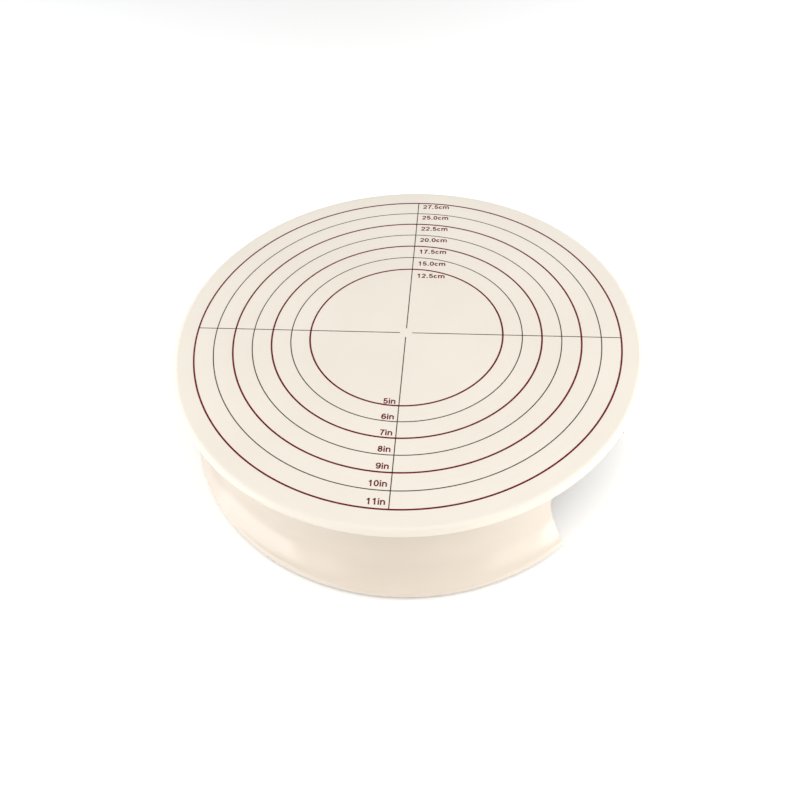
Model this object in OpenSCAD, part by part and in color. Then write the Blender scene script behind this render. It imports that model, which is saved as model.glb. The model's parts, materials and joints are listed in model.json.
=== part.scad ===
// Cake-decorating turntable, in millimetres.
// A flat round plate turns on a ring of balls over a bell-shaped base with two hand grips.
// +Z is up. The origin is the middle of the feet, on the table. The grips are at +X and -X.

/* [Plate] */
// Height of the plate's top face above the table
total_h = 80; // [76:1:90]
// Diameter of the turning plate
plate_d = 304; // [302:1:310]
// Thickness of the plate's skin
plate_skin = 2.8; // [2.4:0.1:3.2]
// Depth of the rolled rim below the top face
rim_depth = 6; // [5.5:0.5:8]
// Radius of the rim's top edge
rim_round = 4; // [3:0.5:4]
// Thickness of the rim where it hangs down
rim_wall = 3; // [2.4:0.2:3]
// Depth of the stiffening ribs under the plate
plate_rib_h = 3; // [1.5:0.5:3]
// Number of radial ribs under the plate
plate_ribs = 16; // [8:4:24]

/* [Base] */
// Outer diameter of the foot of the base
foot_d = 300; // [296:1:302]
// Outer radius of the base at its top, before the corner is rounded
deck_r = 123.5; // [120:0.5:126]
// Slope of the straight part of the wall, in degrees from upright
draft = 13.5; // [12:0.5:14]
// Radius of the hollow curve that flares the wall out to the foot
flare_r = 36; // [32:1:38]
// Radius of the rolled edge at the foot
bead_r = 3; // [2.5:0.5:3.5]
// Thickness of the base wall and deck
wall = 3; // [2.4:0.2:3]
// Radius of the corner between the wall and the deck
deck_round = 4; // [3:0.5:5]
// Gap under the foot of the base, filled by the rubber feet
foot_gap = 2.2; // [1.5:0.1:3]
// Number of ribs under the deck
deck_ribs = 8; // [8:8:16]

/* [Hand grips] */
// Width of each grip across its foot
grip_w = 102.6; // [90:0.2:108]
// Angle at which a grip's sides spread apart outwards, in degrees from its middle line
grip_spread = 30; // [26:1:34]
// Height of a grip's top edge above the table
grip_top = 34; // [28:1:36]
// Radius of a grip's top corners
grip_round = 8; // [6:1:10]
// Radius of the wall's corners beside a grip, at the foot
grip_foot_round = 3.6; // [3.2:0.2:4]

/* [Ball race] */
// Radius of the circle that the ball centres run on
race_r = 60; // [56:1:62]
// Diameter of a ball
ball_d = 6; // [5:0.5:6]
// Number of balls
balls = 24; // [12:2:28]
// Thickness of each race ring
race_t = 2.5; // [2.4:0.1:2.8]
// Gap between the two race rings
race_gap = 4; // [3.8:0.1:4.2]

/* [Spindle] */
// Diameter of the spindle
spindle_d = 10; // [8:0.5:10]
// Gap all round between the spindle and its bush
spindle_fit = 0.05; // [0.02:0.01:0.1]

/* [Feet] */
// Diameter of a rubber foot
rubber_d = 16; // [14:1:17]
// Radius of the circle that the feet stand on
feet_r = 134; // [132:1:135]

/* [Hidden] */
$fn = 96;

// Small lengths that keep cuts clear of coincident faces, and parts clear of each other
cut = 1;
hole_gap = 0.05;
part_gap = 0.1;

// Plate levels
plate_r = plate_d / 2;
plate_under = total_h - plate_skin;
pad_h = 3;
pad_z = plate_under - pad_h;
rib_t = 2;

// Race levels, from the plate down to the deck
ball_r = ball_d / 2;
groove_r = ball_r + part_gap;
race_half_w = 10;
race_side_gap = 0.5;
upper_race_z = pad_z - race_t;
ball_z = upper_race_z - race_gap / 2;
lower_race_z = ball_z - race_gap / 2 - race_t;
race_sunk = 3.3;
deck_z = lower_race_z + race_sunk;
deck_under = deck_z - wall;
trough_floor_z = lower_race_z - wall;
trough_half_w = race_half_w + race_side_gap;
cage_t = 2;
cage_half_w = 6;
pocket_r = ball_r + 2 * part_gap;

// Hub, spindle and what holds it
hub_boss_r = 16;
spindle_r = spindle_d / 2;
flange_r = 13;
flange_t = 3;
flange_z = pad_z - flange_t;
bush_wall = 3;
bush_r = spindle_r + bush_wall;
bush_flange_r = 12;
bush_top = flange_z - 0.5;
tube_r = 12.5;
tube_bottom = deck_z - 24.5;
retainer_r = 11;
retainer_t = 1.5;
retainer_z = tube_bottom - 0.7 - retainer_t;
clip_t = 1.1;
clip_z = retainer_z - clip_t;
clip_r = 7.5;
clip_mouth = 60;
clip_lug_turn = 8;
clip_lug_r = 1.6;
clip_lug_hole_r = 0.7;
groove_depth = 0.5;
spindle_end = clip_z - 3;

// Sleeve round the hub and the cap that closes it
sleeve_r = 25;
sleeve_wall = 3;
sleeve_bottom = deck_z - 34.5;
cover_t = 2;
cover_lip_h = 3;
cover_lip_t = 1.8;
cover_lip_gap = 0.4;
cover_screw_r = 18;
cover_boss_r = 3.6;
cover_screws = 3;
deck_rib_t = 2.5;
deck_rib_bottom = deck_z - 16.5;

// Screws
race_screw_r = 1.25;
race_head_r = 2.5;
race_head_h = 1.3;
race_screw_in = 3.5;
race_screws = 4;
race_screw_at = race_r + 6;
flange_screws = 3;
flange_screw_at = 9.5;
cap_screw_r = 1.5;
cap_head_r = 3;
cap_head_h = 1.8;
cap_screw_in = 8;
boss_r = 4;
boss_h = 4;

// Feet
foot_angles = [45, 90, 135, 225, 270, 315];
foot_names = [for (i = [1:len(foot_angles)]) str("rubber_foot_", i)];
rubber_r = rubber_d / 2;
rubber_h = 5;
rubber_edge = 1.2;
foot_rim = 1;
foot_boss_r = rubber_r + foot_rim;
foot_seat_h = 2.2;
foot_well_r = cap_head_r + foot_rim;

// The wall's outline: a sloping line, a hollow arc that touches it, and a round bead at the foot.
foot_r = foot_d / 2;
bead = [foot_r - bead_r, foot_gap + bead_r];
slope = tan(draft);
arc_steps = 40;
function line_r(z) = deck_r + (deck_z - z) * slope;
function at(radius, angle) = radius * [cos(angle), sin(angle)];
function arc(centre, radius, from, to, steps = arc_steps) =
  [for (i = [0:steps]) centre + at(radius, from + (to - from) * i / steps)];

// The arc's centre is flare_r from the line and flare_r + bead_r from the bead's centre,
// so its height is the upper root of a quadratic.
line_shift = deck_r + deck_z * slope + flare_r / cos(draft);
quad_a = slope * slope + 1;
quad_b = 2 * (bead.x - line_shift) * slope - 2 * bead.y;
quad_c = pow(bead.x - line_shift, 2) + pow(bead.y, 2) - pow(flare_r + bead_r, 2);
flare_z = (sqrt(quad_b * quad_b - 4 * quad_a * quad_c) - quad_b) / (2 * quad_a);
flare = [line_shift - slope * flare_z, flare_z];
flare_end = atan2(flare.y - bead.y, flare.x - bead.x);
corner = [line_r(deck_z - deck_round) - deck_round / cos(draft), deck_z - deck_round];

// ---- Shared shapes ----

// Copies a shape to evenly spaced places on a circle
module around(count, radius, start = 0) {
  for (i = [0:count - 1])
    rotate([0, 0, start + i * 360 / count])
      translate([radius, 0, 0])
        children();
}

// A ring with square edges
module ring(inner, outer, height) {
  difference() {
    cylinder(r = outer, h = height);
    translate([0, 0, -cut])
      cylinder(r = inner, h = height + 2 * cut);
  }
}

// A cross-shaped driver recess, cut downwards from z = 0
module cross_recess(size, depth) {
  for (turn = [0, 90])
    rotate([0, 0, turn])
      translate([-size / 2, -size / 8, -depth])
        cube([size, size / 4, depth + cut]);
}

// A countersunk screw: its flat head is at z = 0 and its shank points down
module countersunk_screw(length) {
  difference() {
    union() {
      translate([0, 0, -race_head_h])
        cylinder(r1 = race_screw_r, r2 = race_head_r, h = race_head_h);
      translate([0, 0, -length])
        cylinder(r = race_screw_r, h = length);
    }
    cross_recess(race_head_r * 1.1, race_head_h * 0.6);
  }
}

// The hole that a countersunk screw fits in
module countersunk_hole(length) {
  translate([0, 0, -race_head_h])
    cylinder(r1 = race_screw_r + hole_gap, r2 = race_head_r + hole_gap, h = race_head_h);
  cylinder(r = race_head_r + hole_gap, h = cut);
  translate([0, 0, -length - hole_gap])
    cylinder(r = race_screw_r + hole_gap, h = length);
}

// A pan-head screw: its shank points up from z = 0 and its head is below
module pan_screw(length) {
  difference() {
    union() {
      cylinder(r = cap_screw_r, h = length);
      rotate_extrude()
        polygon(concat(
          arc([0, 0], cap_head_r, -asin(cap_head_h / cap_head_r), 0, 6),
          [[0, 0], [0, -cap_head_h]]
        ));
    }
    translate([0, 0, -cap_head_h])
      mirror([0, 0, 1])
        cross_recess(cap_head_r * 1.1, cap_head_h * 0.5);
  }
}

// A race ring with its ball groove in the top face
module race_ring() {
  difference() {
    rotate_extrude()
      difference() {
        translate([race_r - race_half_w, 0])
          square([2 * race_half_w, race_t]);
        translate([race_r, race_t + race_gap / 2])
          circle(r = groove_r);
      }
    around(race_screws, race_screw_at)
      translate([0, 0, race_t])
        countersunk_hole(race_t + cut);
  }
}

// ---- Plate ----

module plate_outline() {
  translate([0, plate_under])
    square([plate_r - rim_round, plate_skin]);
  intersection() {
    translate([plate_r - rim_round, total_h - rim_round])
      circle(r = rim_round);
    translate([plate_r - rim_round, total_h - rim_round])
      square(rim_round);
  }
  translate([plate_r - rim_wall, total_h - rim_depth + rim_wall / 2])
    square([rim_wall, rim_depth - rim_wall / 2 - rim_round]);
  translate([plate_r - rim_wall / 2, total_h - rim_depth + rim_wall / 2])
    circle(r = rim_wall / 2);
}

module plate_rib_set() {
  pad_in = race_r - trough_half_w;
  pad_out = race_r + trough_half_w;
  rib_z = plate_under - plate_rib_h;
  for (i = [0:plate_ribs - 1])
    rotate([0, 0, i * 360 / plate_ribs]) {
      translate([hub_boss_r - cut, -rib_t / 2, rib_z])
        cube([pad_in - hub_boss_r + 2 * cut, rib_t, plate_rib_h + cut]);
      translate([pad_out - cut, -rib_t / 2, rib_z])
        cube([plate_r - rim_wall - pad_out + 2 * cut, rib_t, plate_rib_h + cut]);
    }
  translate([0, 0, rib_z])
    ring((pad_out + plate_r) / 2, (pad_out + plate_r) / 2 + rib_t, plate_rib_h + cut);
}

module turntable_plate() {
  color("oldlace")
    difference() {
      union() {
        rotate_extrude()
          plate_outline();
        plate_rib_set();
        translate([0, 0, pad_z])
          ring(race_r - trough_half_w, race_r + trough_half_w, pad_h + cut);
        translate([0, 0, pad_z])
          cylinder(r = hub_boss_r, h = pad_h + cut);
      }
      around(race_screws, race_screw_at, 45)
        translate([0, 0, pad_z - cut])
          cylinder(r = race_screw_r + hole_gap, h = cut + race_screw_in + hole_gap);
      around(flange_screws, flange_screw_at)
        translate([0, 0, pad_z - cut])
          cylinder(r = race_screw_r + hole_gap, h = cut + race_screw_in + hole_gap);
    }
}

module upper_race() {
  color("silver")
    translate([0, 0, pad_z])
      rotate([180, 0, 45])
        race_ring();
}

module upper_race_screws() {
  color("gray")
    around(race_screws, race_screw_at, 45)
      translate([0, 0, upper_race_z])
        mirror([0, 0, 1])
          countersunk_screw(race_t + race_screw_in);
}

// ---- Spindle ----

module spindle() {
  clip_groove_h = clip_t + part_gap;
  color("silver")
    difference() {
      union() {
        translate([0, 0, flange_z])
          cylinder(r = flange_r, h = flange_t);
        translate([0, 0, spindle_end + cut])
          cylinder(r = spindle_r, h = flange_z - spindle_end);
        translate([0, 0, spindle_end])
          cylinder(r1 = spindle_r - cut, r2 = spindle_r, h = cut);
      }
      translate([0, 0, clip_z - part_gap])
        ring(spindle_r - groove_depth, spindle_r + cut, clip_groove_h);
      around(flange_screws, flange_screw_at)
        translate([0, 0, flange_z])
          mirror([0, 0, 1])
            countersunk_hole(flange_t + cut);
    }
}

module spindle_screws() {
  color("gray")
    around(flange_screws, flange_screw_at)
      translate([0, 0, flange_z])
        mirror([0, 0, 1])
          countersunk_screw(flange_t + race_screw_in);
}

module retaining_washer() {
  color("gainsboro")
    translate([0, 0, retainer_z])
      ring(spindle_r + hole_gap, retainer_r, retainer_t);
}

// The places of the circlip's two lugs, one on each side of its mouth
module clip_lugs(radius, height) {
  for (side = [-1, 1])
    rotate([0, 0, side * (clip_mouth / 2 + clip_lug_turn)])
      translate([clip_r, 0, 0])
        cylinder(r = radius, h = height);
}

// A split ring with two lugs beside its mouth
module circlip() {
  mouth_reach = clip_r * 2;
  color("dimgray")
    translate([0, 0, clip_z])
      difference() {
        union() {
          difference() {
            ring(spindle_r - groove_depth + hole_gap, clip_r, clip_t);
            translate([0, 0, -cut])
              linear_extrude(clip_t + 2 * cut)
                polygon([[0, 0], at(mouth_reach, clip_mouth / 2), at(mouth_reach, -clip_mouth / 2)]);
          }
          clip_lugs(clip_lug_r, clip_t);
        }
        translate([0, 0, -cut])
          clip_lugs(clip_lug_hole_r, clip_t + 2 * cut);
      }
}

// ---- Ball ring ----

module ball_cage() {
  color("white")
    translate([0, 0, ball_z - cage_t / 2])
      difference() {
        ring(race_r - cage_half_w, race_r + cage_half_w, cage_t);
        around(balls, race_r)
          translate([0, 0, -cut])
            cylinder(r = pocket_r, h = cage_t + 2 * cut);
      }
}

module bearing_balls() {
  color("lightgray")
    around(balls, race_r)
      translate([0, 0, ball_z])
        sphere(r = ball_r);
}

// ---- Base ----

// Everything inside the base's outer surface, drawn in by an inset
module bell_core(inset) {
  polygon(concat(
    [[0, foot_gap], [bead.x, foot_gap]],
    arc(flare, flare_r + inset, 180 + flare_end, 180 + draft),
    [[line_r(deck_z - inset) - inset / cos(draft), deck_z - inset], [0, deck_z - inset]]
  ));
}

// The skirt and deck, before grips and holes
module bell_skin() {
  bead_step = 15;
  past_bead = asin(bead_r / (flare_r + wall)) + 1;
  rotate_extrude()
    polygon(concat(
      [[0, deck_z]],
      arc(corner, deck_round, 90, draft, 6),
      arc(flare, flare_r, 180 + draft, 180 + flare_end),
      arc(bead, bead_r, flare_end - bead_step, flare_end - 270, 17),
      arc(flare, flare_r + wall, 180 + flare_end - past_bead, 180 + draft),
      [[line_r(deck_under) - wall / cos(draft), deck_under], [0, deck_under]]
    ));
}

// The opening cut through the foot of the wall, as one strip for each side. Its sides are
// upright planes that spread outwards, and its corners are round at the top and at the foot.
module grip_cut() {
  foot_x = sqrt(pow(foot_r, 2) - pow(grip_w / 2, 2));
  apex = foot_x - grip_w / 2 / tan(grip_spread);
  strip_w = grip_w / 2 / cos(grip_spread);
  top_corner = [-grip_round, grip_top - grip_round];
  foot_corner = [grip_foot_round, foot_gap + grip_foot_round];
  for (side = [0, 1])
    mirror([0, side, 0])
      translate([apex, 0, 0])
        rotate([90, 0, 90 + grip_spread])
          linear_extrude(foot_r)
            polygon(concat(
              [[-strip_w, -cut], [foot_corner.x, -cut]],
              arc(foot_corner, grip_foot_round, 270, 180, 6),
              arc(top_corner, grip_round, 0, 90, 8),
              [[-strip_w, grip_top]]
            ));
}

// Ribs under the deck, from the hub sleeve out to the wall
module deck_rib_set() {
  around(deck_ribs, sleeve_r - cut, 180 / deck_ribs)
    translate([0, -deck_rib_t / 2, deck_rib_bottom])
      cube([deck_r, deck_rib_t, deck_under - deck_rib_bottom + cut]);
}

module hub() {
  translate([0, 0, tube_bottom])
    cylinder(r = tube_r, h = deck_z - tube_bottom);
  translate([0, 0, sleeve_bottom])
    ring(sleeve_r - sleeve_wall, sleeve_r, deck_z - sleeve_bottom - cut);
  around(cover_screws, cover_screw_r, 90)
    translate([0, 0, sleeve_bottom])
      cylinder(r = cover_boss_r, h = deck_z - sleeve_bottom - cut);
}

module race_seat() {
  translate([0, 0, trough_floor_z])
    ring(race_r - trough_half_w - wall, race_r + trough_half_w + wall, deck_z - trough_floor_z);
  around(race_screws, race_screw_at)
    translate([0, 0, trough_floor_z - boss_h])
      cylinder(r = boss_r, h = boss_h + cut);
}

// The round seats that the rubber feet screw up against
module foot_bosses() {
  for (angle = foot_angles)
    rotate([0, 0, angle])
      translate([feet_r, 0, rubber_h])
        cylinder(r = foot_boss_r, h = grip_top);
}

module foot_boss_holes() {
  for (angle = foot_angles)
    rotate([0, 0, angle])
      translate([feet_r, 0, rubber_h - cut])
        cylinder(r = cap_screw_r + hole_gap, h = cap_screw_in + cut);
}

module base_shell() {
  color("antiquewhite")
    difference() {
      union() {
        bell_skin();
        race_seat();
        hub();
        intersection() {
          union() {
            deck_rib_set();
            foot_bosses();
          }
          rotate_extrude()
            bell_core(wall / 2);
        }
      }
      translate([0, 0, lower_race_z])
        ring(race_r - trough_half_w, race_r + trough_half_w, race_sunk + cut);
      translate([0, 0, tube_bottom - cut])
        cylinder(r = bush_r + hole_gap, h = deck_z - tube_bottom + 2 * cut);
      around(race_screws, race_screw_at)
        translate([0, 0, lower_race_z - race_screw_in - hole_gap])
          cylinder(r = race_screw_r + hole_gap, h = race_screw_in + cut);
      around(cover_screws, cover_screw_r, 90)
        translate([0, 0, sleeve_bottom - cut])
          cylinder(r = cap_screw_r + hole_gap, h = cap_screw_in + cut);
      foot_boss_holes();
      for (side = [0, 180])
        rotate([0, 0, side])
          grip_cut();
    }
}

module lower_race() {
  color("silver")
    translate([0, 0, lower_race_z])
      race_ring();
}

module lower_race_screws() {
  color("gray")
    around(race_screws, race_screw_at)
      translate([0, 0, lower_race_z + race_t])
        countersunk_screw(race_t + race_screw_in);
}

module spindle_bush() {
  color("whitesmoke")
    difference() {
      union() {
        translate([0, 0, tube_bottom])
          cylinder(r = bush_r, h = deck_z - tube_bottom);
        translate([0, 0, deck_z])
          cylinder(r = bush_flange_r, h = bush_top - deck_z);
      }
      translate([0, 0, tube_bottom - cut])
        cylinder(r = spindle_r + spindle_fit, h = bush_top - tube_bottom + 2 * cut);
    }
}

// The cap under the hub: a disc with a rounded edge and a lip that fits inside the sleeve
module hub_cover() {
  lip_r = sleeve_r - sleeve_wall - cover_lip_gap;
  color("linen")
    difference() {
      union() {
        translate([0, 0, sleeve_bottom - cover_t])
          rotate_extrude()
            polygon(concat(
              [[0, 0]],
              arc([sleeve_r - cover_t / 2, cover_t / 2], cover_t / 2, -90, 90, 8),
              [[0, cover_t]]
            ));
        difference() {
          translate([0, 0, sleeve_bottom - cut])
            ring(lip_r - cover_lip_t, lip_r, cover_lip_h + cut);
          around(cover_screws, cover_screw_r, 90)
            translate([0, 0, sleeve_bottom])
              cylinder(r = cover_boss_r + cover_lip_gap, h = cover_lip_h + cut);
        }
      }
      around(cover_screws, cover_screw_r, 90)
        translate([0, 0, sleeve_bottom - cover_t - cut])
          cylinder(r = cap_screw_r + hole_gap, h = cover_t + 2 * cut);
    }
}

module hub_cover_screws() {
  color("gray")
    around(cover_screws, cover_screw_r, 90)
      translate([0, 0, sleeve_bottom - cover_t])
        pan_screw(cover_t + cap_screw_in - cut);
}

// ---- Feet ----

// One rubber foot with a well for its screw head
module rubber_foot(angle) {
  color("dimgray")
    rotate([0, 0, angle])
      translate([feet_r, 0, 0])
        rotate_extrude()
          difference() {
            union() {
              translate([0, rubber_edge])
                square([rubber_r, rubber_h - rubber_edge]);
              square([rubber_r - rubber_edge, rubber_edge + cut]);
              translate([rubber_r - rubber_edge, rubber_edge])
                circle(r = rubber_edge);
            }
            translate([-cut, -cut])
              square([foot_well_r + cut, foot_seat_h + cut]);
            translate([-cut, -cut])
              square([cap_screw_r + hole_gap + cut, rubber_h + 2 * cut]);
          }
}

module foot_screws() {
  color("gray")
    for (angle = foot_angles)
      rotate([0, 0, angle])
        translate([feet_r, 0, foot_seat_h])
          pan_screw(rubber_h - foot_seat_h + cap_screw_in - cut);
}

turntable_plate();
upper_race();
upper_race_screws();
spindle();
spindle_screws();
retaining_washer();
circlip();
ball_cage();
bearing_balls();
base_shell();
lower_race();
lower_race_screws();
spindle_bush();
hub_cover();
hub_cover_screws();
foot_screws();
for (i = [0:len(foot_angles) - 1])
  rubber_foot(foot_angles[i]);
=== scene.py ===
"""Looks for a cake turntable: cream moulded plastic, a printed scale, bearing steel and rubber feet."""

import json
import math

import bmesh
import bpy
from mathutils import Matrix, Vector


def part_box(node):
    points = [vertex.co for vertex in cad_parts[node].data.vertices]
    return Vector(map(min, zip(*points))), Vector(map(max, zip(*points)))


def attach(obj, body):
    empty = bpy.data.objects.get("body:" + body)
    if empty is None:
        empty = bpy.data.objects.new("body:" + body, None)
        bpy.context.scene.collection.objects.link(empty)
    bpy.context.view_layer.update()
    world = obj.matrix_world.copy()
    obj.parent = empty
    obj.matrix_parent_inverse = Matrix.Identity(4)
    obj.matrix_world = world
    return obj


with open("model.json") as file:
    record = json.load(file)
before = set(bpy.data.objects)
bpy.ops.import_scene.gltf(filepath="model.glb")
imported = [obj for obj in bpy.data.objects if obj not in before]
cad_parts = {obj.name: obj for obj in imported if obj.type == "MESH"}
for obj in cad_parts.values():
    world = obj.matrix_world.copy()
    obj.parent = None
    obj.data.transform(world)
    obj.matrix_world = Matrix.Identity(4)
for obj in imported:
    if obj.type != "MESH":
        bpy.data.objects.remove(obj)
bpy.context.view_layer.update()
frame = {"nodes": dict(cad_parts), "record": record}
MM = 0.001
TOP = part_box("turntable_plate")[1].z

# ---- Camera ----

SENSOR = 36.0
LENS = 39.87
AZIMUTH = 33.5
ELEVATION = 49.0
ROLL = -3.6
DISTANCE = 0.538
AIM_RIGHT = -6.7 * MM
AIM_NEAR = 57.5 * MM
CLIP_START = 10 * MM


def outward(azimuth, elevation):
    """The unit vector out from the middle, by angles in degrees. Azimuth 0 points along -Y."""
    azimuth = math.radians(azimuth)
    elevation = math.radians(elevation)
    level = math.cos(elevation)
    return Vector((math.sin(azimuth) * level, -math.cos(azimuth) * level, math.sin(elevation)))


def make_camera():
    """A camera aimed at a point on the plate's top, near the middle and towards the viewer."""
    side = outward(AZIMUTH + 90, 0)
    near = outward(AZIMUTH, 0)
    back = outward(AZIMUTH, ELEVATION)
    up = back.cross(side)
    roll = math.radians(ROLL)
    right = side * math.cos(roll) + up * math.sin(roll)
    aim = side * AIM_RIGHT + near * AIM_NEAR + Vector((0, 0, TOP))
    turn = Matrix((right, back.cross(right), back)).transposed().to_4x4()
    data = bpy.data.cameras.new("camera")
    data.lens = LENS
    data.sensor_width = SENSOR
    data.clip_start = CLIP_START
    camera = bpy.data.objects.new("camera", data)
    camera.matrix_world = Matrix.Translation(aim + back * DISTANCE) @ turn
    bpy.context.scene.collection.objects.link(camera)
    bpy.context.scene.camera = camera


# ---- Materials ----


class Surface:
    """A Principled material with short calls for the textures that it is built from."""

    def __init__(self, name, **sockets):
        self.material = bpy.data.materials.new(name)
        self.material.use_nodes = True
        self.tree = self.material.node_tree
        self.shader = self.tree.nodes["Principled BSDF"]
        self.place = self.node("ShaderNodeTexCoord").outputs["Object"]
        for socket, value in sockets.items():
            self.shader.inputs[socket.replace("_", " ")].default_value = value

    def node(self, kind, **inputs):
        """A new node with its inputs linked or set. Underscores stand for spaces in socket names."""
        made = self.tree.nodes.new(kind)
        for name, value in inputs.items():
            socket = made.inputs[name.replace("_", " ")]
            if isinstance(value, bpy.types.NodeSocket):
                self.tree.links.new(value, socket)
            else:
                socket.default_value = value
        return made

    def noise(self, scale, detail=3.0, roughness=0.5):
        """A noise of that many features a metre, in the piece's own axes."""
        sockets = {"Scale": scale, "Detail": detail, "Roughness": roughness}
        return self.node("ShaderNodeTexNoise", Vector=self.place, **sockets).outputs["Fac"]

    def ramp(self, source, *stops):
        """source read through colour stops, each (position, colour)."""
        made = self.node("ShaderNodeValToRGB", Fac=source)
        spots = made.color_ramp.elements
        while len(spots) < len(stops):
            spots.new(0.5)
        for spot, (position, colour) in zip(spots, stops):
            spot.position = position
            spot.color = (*colour, 1.0)
        self.tree.links.new(made.outputs["Color"], self.shader.inputs["Base Color"])

    def roughness(self, source, low, high):
        """A roughness that drifts with source."""
        made = self.node("ShaderNodeMapRange", Value=source, To_Min=low, To_Max=high)
        self.tree.links.new(made.outputs[0], self.shader.inputs["Roughness"])

    def bump(self, source, height, over=None):
        """A bump of that height in metres, over an earlier one."""
        made = self.node("ShaderNodeBump", Height=source, Distance=height, Strength=1.0)
        if over:
            self.tree.links.new(over.outputs[0], made.inputs["Normal"])
        self.tree.links.new(made.outputs[0], self.shader.inputs["Normal"])
        return made


def moulded_plastic(name, light, shade, low_rough, high_rough, coat):
    """Glossy cream moulding: a faint mottle, a drift in gloss, flow waves and a fine orange peel."""
    surface = Surface(name, Specular_IOR_Level=0.45, Coat_Weight=coat, Coat_Roughness=0.15)
    surface.ramp(surface.noise(14.0, 4.0), (0.35, shade), (0.65, light))
    surface.roughness(surface.noise(42.0, 5.0, 0.6), low_rough, high_rough)
    waves = surface.bump(surface.noise(30.0, 1.0), 0.00006)
    surface.bump(surface.noise(1600.0, 2.0), 0.000004, over=waves)
    return surface.material


def printed_ink(name, dark, light):
    """Screen-printed ink with a slightly uneven coat."""
    surface = Surface(name, Specular_IOR_Level=0.2)
    surface.ramp(surface.noise(900.0, 4.0), (0.3, dark), (0.75, light))
    surface.roughness(surface.noise(600.0), 0.4, 0.6)
    surface.bump(surface.noise(4000.0), 0.000005)
    return surface.material


def turned_steel(name, dark, light, low_rough, high_rough):
    """Steel with fine tool marks that run round the spindle's axis."""
    surface = Surface(name, Metallic=1.0)
    sockets = {"Scale": 900.0, "Distortion": 2.0, "Detail": 2.0}
    rings = surface.node("ShaderNodeTexWave", Vector=surface.place, **sockets)
    rings.wave_type = "RINGS"
    rings.rings_direction = "Z"
    surface.ramp(surface.noise(120.0, 4.0), (0.3, dark), (0.7, light))
    surface.roughness(surface.noise(300.0, 3.0), low_rough, high_rough)
    surface.bump(rings.outputs["Fac"], 0.000004)
    return surface.material


def plain_steel(name, dark, light, low_rough, high_rough):
    """Plated or blackened steel, with a fine grain."""
    surface = Surface(name, Metallic=1.0)
    surface.ramp(surface.noise(260.0, 4.0), (0.3, dark), (0.7, light))
    surface.roughness(surface.noise(500.0, 3.0), low_rough, high_rough)
    surface.bump(surface.noise(2500.0, 2.0), 0.000003)
    return surface.material


def soft_rubber(name, dark, light):
    """Moulded rubber: matt, with a fine pebble and a dusty bloom."""
    surface = Surface(name, Specular_IOR_Level=0.35)
    surface.ramp(surface.noise(180.0, 5.0, 0.6), (0.4, dark), (0.8, light))
    surface.roughness(surface.noise(300.0), 0.7, 0.9)
    surface.bump(surface.noise(1500.0, 3.0), 0.00003)
    return surface.material


def natural_acetal(name, shade, light):
    """Milky bearing plastic."""
    surface = Surface(name, Specular_IOR_Level=0.5)
    surface.ramp(surface.noise(90.0), (0.35, shade), (0.65, light))
    surface.roughness(surface.noise(200.0), 0.35, 0.5)
    surface.bump(surface.noise(1800.0, 2.0), 0.000006)
    return surface.material


def grey(value):
    return (value, value, value)


SLOT_MATERIALS = {
    "plate_plastic": moulded_plastic(
        "plate_moulding", (0.718, 0.67, 0.596), (0.697, 0.647, 0.574), 0.38, 0.48, coat=0.05
    ),
    # The base's colours are the plate's cream plastic made darker: painted shade for the wall under the
    # plate's rim.
    "base_plastic": moulded_plastic(
        "base_moulding", (0.648, 0.58, 0.505), (0.627, 0.558, 0.484), 0.16, 0.24, coat=0.25
    ),
    "print_dark_red": printed_ink("ink_dark_red", (0.1, 0.002, 0.007), (0.16, 0.004, 0.012)),
    "print_grey": printed_ink("ink_grey", (0.034, 0.022, 0.014), (0.06, 0.042, 0.028)),
    "race_steel": turned_steel("race_steel", grey(0.52), grey(0.66), 0.18, 0.3),
    "ball_steel": plain_steel("ball_steel", grey(0.72), grey(0.82), 0.05, 0.1),
    "spindle_steel": turned_steel("spindle_steel", grey(0.5), grey(0.62), 0.2, 0.34),
    "spring_steel": plain_steel("spring_steel", grey(0.06), grey(0.11), 0.35, 0.5),
    "screw_steel": plain_steel("screw_steel", (0.55, 0.55, 0.53), (0.7, 0.7, 0.67), 0.25, 0.38),
    "cage_acetal": natural_acetal("cage_acetal", (0.74, 0.74, 0.69), (0.84, 0.84, 0.80)),
    "foot_rubber": soft_rubber("foot_rubber", grey(0.018), grey(0.045)),
}


def dress_cad_nodes():
    """Gives every CAD node the material of its slot."""
    slots = {row["node"]: row["material_slot"] for row in frame["record"]["subparts"]}
    for name, node in frame["nodes"].items():
        for place in node.material_slots:
            place.material = SLOT_MATERIALS[slots[name]]


# ---- Printed scale ----

INK_T = 0.04 * MM
PRINT_TURN = math.radians(26.5)
INCH_RINGS = range(5, 12)
MM_PER_INCH_MARK = 25
RING_STEP = MM_PER_INCH_MARK * MM / 2
CM_PER_M = 100
RED_RING_W = 1.12 * MM
GREY_RING_W = 0.66 * MM
CROSS_W = 0.6 * MM
CROSS_GAP = 4.0 * MM
RING_SEGMENTS = 360
CAP_H = 4.35 * MM
CM_TEXT_X = 3.2 * MM
CM_TEXT_DROP = 6.4 * MM
CM_TEXT_DROP_STEP = 0.4 * MM
INCH_TEXT_X = -2.0 * MM
INCH_TEXT_RISE = 1.4 * MM
INCH_TEXT_RISE_STEP = 0.25 * MM


def ring_radius(inches):
    """The radius of an inch mark's ring. Each inch mark stands for 25 mm of a cake's width."""
    return inches * RING_STEP


def on_plate(name, mesh, slot_name):
    """Lays a finished mesh on the plate's top, turned as the print is."""
    piece = bpy.data.objects.new(name, mesh)
    bpy.context.scene.collection.objects.link(piece)
    mesh.transform(Matrix.Translation((0, 0, TOP)) @ Matrix.Rotation(PRINT_TURN, 4, "Z"))
    mesh.materials.clear()
    mesh.materials.append(SLOT_MATERIALS[slot_name])
    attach(piece, "plate")
    return piece


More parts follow.
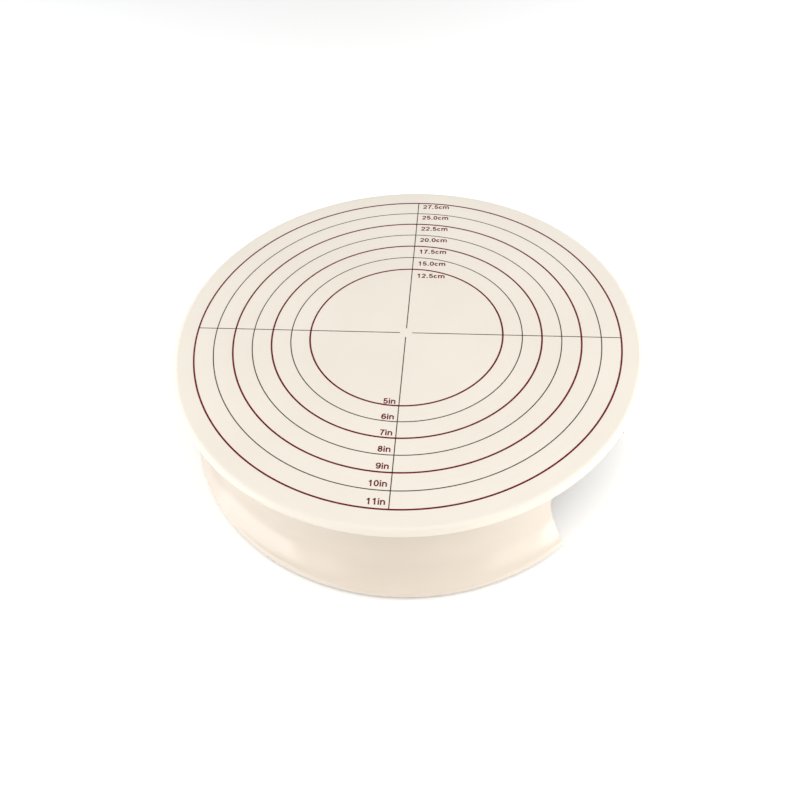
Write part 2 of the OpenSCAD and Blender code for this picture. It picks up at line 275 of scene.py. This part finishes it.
def ring_mesh(radius, width):
    """A thin closed ring of ink."""
    shape = bmesh.new()
    half = width / 2
    section = ((radius - half, 0), (radius + half, 0), (radius + half, INK_T), (radius - half, INK_T))
    loops = []
    for i in range(RING_SEGMENTS):
        angle = math.tau * i / RING_SEGMENTS
        corners = [(r * math.cos(angle), r * math.sin(angle), z) for r, z in section]
        loops.append([shape.verts.new(corner) for corner in corners])
    for here, there in zip(loops, loops[1:] + loops[:1]):
        for j in range(len(section)):
            k = (j + 1) % len(section)
            shape.faces.new((here[j], there[j], there[k], here[k]))
    bmesh.ops.recalc_face_normals(shape, faces=shape.faces)
    mesh = bpy.data.meshes.new("ring")
    shape.to_mesh(mesh)
    shape.free()
    return mesh


def cross_mesh(reach):
    """Four thin bars of ink from near the middle out to the last ring."""
    shape = bmesh.new()
    for quarter in range(4):
        bar = bmesh.ops.create_cube(shape, size=1.0)["verts"]
        size = Matrix.Diagonal((reach - CROSS_GAP, CROSS_W, INK_T, 1))
        shift = Matrix.Translation(((reach + CROSS_GAP) / 2, 0, INK_T / 2))
        turn = Matrix.Rotation(quarter * math.pi / 2, 4, "Z")
        bmesh.ops.transform(shape, verts=bar, matrix=turn @ shift @ size)
    mesh = bpy.data.meshes.new("cross")
    shape.to_mesh(mesh)
    shape.free()
    return mesh


# The lettering's own sizes, in units of a capital's height.
PEN = 0.19
LOW = PEN / 2
HIGH = 1 - LOW
FIGURE_W = 0.77
MID = FIGURE_W / 2
BOWL = 0.25
STEM = 0.155
X_HEIGHT = 0.73
OVAL_STEP = 15
MITRE_LIMIT = 2
CLOSED_GAP = CAP_H / 1000


def oval(x, y, wide, high, start, end):
    """Points along an oval about (x, y), from one angle in degrees to another."""
    steps = max(2, round(abs(end - start) / OVAL_STEP))
    turns = (math.radians(start + (end - start) * i / steps) for i in range(steps + 1))
    return [(x + wide * math.cos(t), y + high * math.sin(t)) for t in turns]


def turned_over(lines, width):
    """A figure's lines turned half round within its width and the height of a capital."""
    return [[(width - x, 1 - y) for x, y in line] for line in lines]


SIX = [
    oval(MID, 0.33, BOWL, 0.33 - LOW, 0, 360),
    oval(MID + 0.01, 0.5, BOWL + 0.01, 0.5 - LOW, 35, 180) + [(MID - BOWL, 0.33)],
]
# Each letter's width, and the middle lines of its pen strokes. The unit is a capital's height.
LETTERS = {
    "0": (FIGURE_W, [oval(MID, 0.5, BOWL, 0.5 - LOW, 0, 360)]),
    "1": (FIGURE_W, [[(0.17, 0.74), (0.31, 0.79), (0.42, 0.93)], [(0.45, 1), (0.45, 0)]]),
    "2": (FIGURE_W, [oval(MID, 0.67, BOWL, HIGH - 0.67, 170, -35) + [(0.16, LOW), (0.66, LOW)]]),
    "5": (FIGURE_W, [[(0.62, HIGH), (0.235, HIGH)] + oval(MID, 0.335, BOWL, 0.335 - LOW, 140, -150)]),
    "6": (FIGURE_W, SIX),
    "7": (FIGURE_W, [[(0.12, HIGH), (0.64, HIGH), (0.46, 0.62), (0.36, 0.32), (0.32, 0)]]),
    "8": (FIGURE_W, [
        oval(MID, 0.725, 0.21, HIGH - 0.725, 0, 360),
        oval(MID, 0.3, BOWL, 0.3 - LOW, 0, 360),
    ]),
    "9": (FIGURE_W, turned_over(SIX, FIGURE_W)),
    ".": (0.38, [[(0.19, 0), (0.19, PEN)]]),
    "i": (2 * STEM, [[(STEM, 0), (STEM, X_HEIGHT)], [(STEM, 1 - PEN), (STEM, 1)]]),
    "n": (FIGURE_W, [
        [(STEM, 0), (STEM, X_HEIGHT)],
        oval(MID, 0.45, MID - STEM, 0.2, 160, 0) + [(FIGURE_W - STEM, 0)],
    ]),
    "c": (0.69, [oval(0.36, X_HEIGHT / 2, 0.225, X_HEIGHT / 2 - LOW, 42, 318)]),
    "m": (1.16, [
        [(STEM, 0), (STEM, X_HEIGHT)],
        oval(0.367, 0.46, 0.212, 0.19, 160, 0) + [(0.58, 0)],
        oval(0.793, 0.46, 0.212, 0.19, 160, 0) + [(1.005, 0)],
    ]),
}


def pen_stroke(shape, line):
    """A flat ribbon of ink along a line, closed on itself where the line is."""
    half = PEN * CAP_H / 2
    points = [Vector(p) for p in line]
    closed = (points[0] - points[-1]).length < CLOSED_GAP
    if closed:
        points.pop()
    rows = []
    for i, point in enumerate(points):
        before = points[i - 1] if closed or i else point
        after = points[(i + 1) % len(points)] if closed or i + 1 < len(points) else point
        ways = [way.normalized() for way in (point - before, after - point) if way.length]
        way = sum(ways, Vector((0, 0))).normalized()
        reach = half / max(way.dot(ways[0]), 1 / MITRE_LIMIT)
        side = Vector((-way.y, way.x)) * reach
        left = point - side
        right = point + side
        corners = ((*left, 0), (*right, 0), (*right, INK_T), (*left, INK_T))
        rows.append([shape.verts.new(corner) for corner in corners])
    pairs = list(zip(rows, rows[1:]))
    if closed:
        pairs.append((rows[-1], rows[0]))
    else:
        shape.faces.new(rows[0])
        shape.faces.new(rows[-1])
    for here, there in pairs:
        for j in range(len(here)):
            k = (j + 1) % len(here)
            shape.faces.new((here[j], there[j], there[k], here[k]))


def text_mesh(words, x, y, align):
    """A word in flat strokes. x is its left or right edge and y its baseline, on the print's axes."""
    shape = bmesh.new()
    at = x if align == "left" else x - sum(LETTERS[letter][0] for letter in words) * CAP_H
    for letter in words:
        width, lines = LETTERS[letter]
        for line in lines:
            pen_stroke(shape, [(at + px * CAP_H, y + py * CAP_H) for px, py in line])
        at += width * CAP_H
    bmesh.ops.recalc_face_normals(shape, faces=shape.faces)
    mesh = bpy.data.meshes.new(words)
    shape.to_mesh(mesh)
    shape.free()
    return mesh


def print_scale():
    """Rings, cross and size numbers on the plate."""
    for inches in INCH_RINGS:
        radius = ring_radius(inches)
        odd = inches % 2 == 1
        ring = ring_mesh(radius, RED_RING_W if odd else GREY_RING_W)
        on_plate(f"ring_{inches}in", ring, "print_dark_red" if odd else "print_grey")
        centimetres = f"{2 * radius * CM_PER_M:.1f}cm"
        drop = CM_TEXT_DROP + CM_TEXT_DROP_STEP * (max(INCH_RINGS) - inches)
        far = text_mesh(centimetres, CM_TEXT_X, radius - drop, "left")
        on_plate(f"number_{inches * MM_PER_INCH_MARK}mm", far, "print_dark_red")
        rise = INCH_TEXT_RISE + INCH_TEXT_RISE_STEP * (inches - min(INCH_RINGS))
        near = text_mesh(f"{inches}in", INCH_TEXT_X, -radius + rise, "right")
        on_plate(f"number_{inches}in", near, "print_dark_red")
    on_plate("cross_lines", cross_mesh(ring_radius(max(INCH_RINGS))), "print_grey")


# ---- Studio ----

FLOOR_HALF = 6.0
FLOOR_Z = -0.2 * MM
PAPER_DARK = 0.955
PAPER_LIGHT = 0.965
WORLD_STRENGTH = 0.46
WORLD_COLOUR = (1.0, 0.99, 0.97, 1)
WHITE = (1.0, 1.0, 1.0)
COOL = (0.93, 0.965, 1.0)
WARM = (1.0, 0.95, 0.88)
FAINTLY_WARM = (1.0, 0.98, 0.94)


def make_floor():
    """A plain pale floor, just below the feet."""
    mesh = bpy.data.meshes.new("floor")
    signs = ((-1, -1), (1, -1), (1, 1), (-1, 1))
    corners = [(x * FLOOR_HALF, y * FLOOR_HALF, FLOOR_Z) for x, y in signs]
    mesh.from_pydata(corners, [], [(0, 1, 2, 3)])
    floor = bpy.data.objects.new("floor", mesh)
    bpy.context.scene.collection.objects.link(floor)
    surface = Surface("floor_paper", Specular_IOR_Level=0.2)
    surface.ramp(surface.noise(3.0), (0.3, grey(PAPER_DARK)), (0.7, grey(PAPER_LIGHT)))
    surface.roughness(surface.noise(8.0), 0.7, 0.8)
    mesh.materials.append(surface.material)


def softbox(name, turn, lift, width, height, power, colour=WHITE, distance=1.0):
    """A soft rectangular light aimed at the base.

    turn is in degrees round from the camera and lift in degrees above the floor.
    """
    data = bpy.data.lights.new(name, "AREA")
    data.shape = "RECTANGLE"
    data.size = width
    data.size_y = height
    data.energy = power
    data.color = colour
    back = outward(AZIMUTH + turn, lift)
    light = bpy.data.objects.new(name, data)
    light.location = Vector((0, 0, TOP / 2)) + back * distance
    light.rotation_euler = back.to_track_quat("Z", "Y").to_euler()
    light.visible_camera = False
    bpy.context.scene.collection.objects.link(light)


def make_world():
    """An even, faintly warm light from all round."""
    world = bpy.data.worlds.new("studio")
    world.use_nodes = True
    background = world.node_tree.nodes["Background"]
    background.inputs["Color"].default_value = WORLD_COLOUR
    background.inputs["Strength"].default_value = WORLD_STRENGTH
    bpy.context.scene.world = world


def make_studio():
    """Low softboxes at the sides for the wall's highlights, and two high ones for the plate."""
    make_floor()
    make_world()
    for side, name, power, front_power in ((-1, "left", 3.7, 0.9), (1, "right", 5.5, 1.4)):
        softbox(f"{name}_softbox", side * 75, 14, 0.7, 0.5, power)
        softbox(f"{name}_rear_softbox", side * 115, 24, 0.8, 0.6, 3.4, COOL)
        softbox(f"{name}_front_softbox", side * 45, 15, 0.5, 0.5, front_power, WARM)
    softbox("front_softbox", 0, 64, 1.2, 0.4, 4.0, FAINTLY_WARM)
    softbox("top_softbox", 0, 80, 1.4, 1.4, 2.0, distance=1.4)
    bpy.context.scene.view_settings.view_transform = "Standard"


make_camera()
dress_cad_nodes()
print_scale()
make_studio()
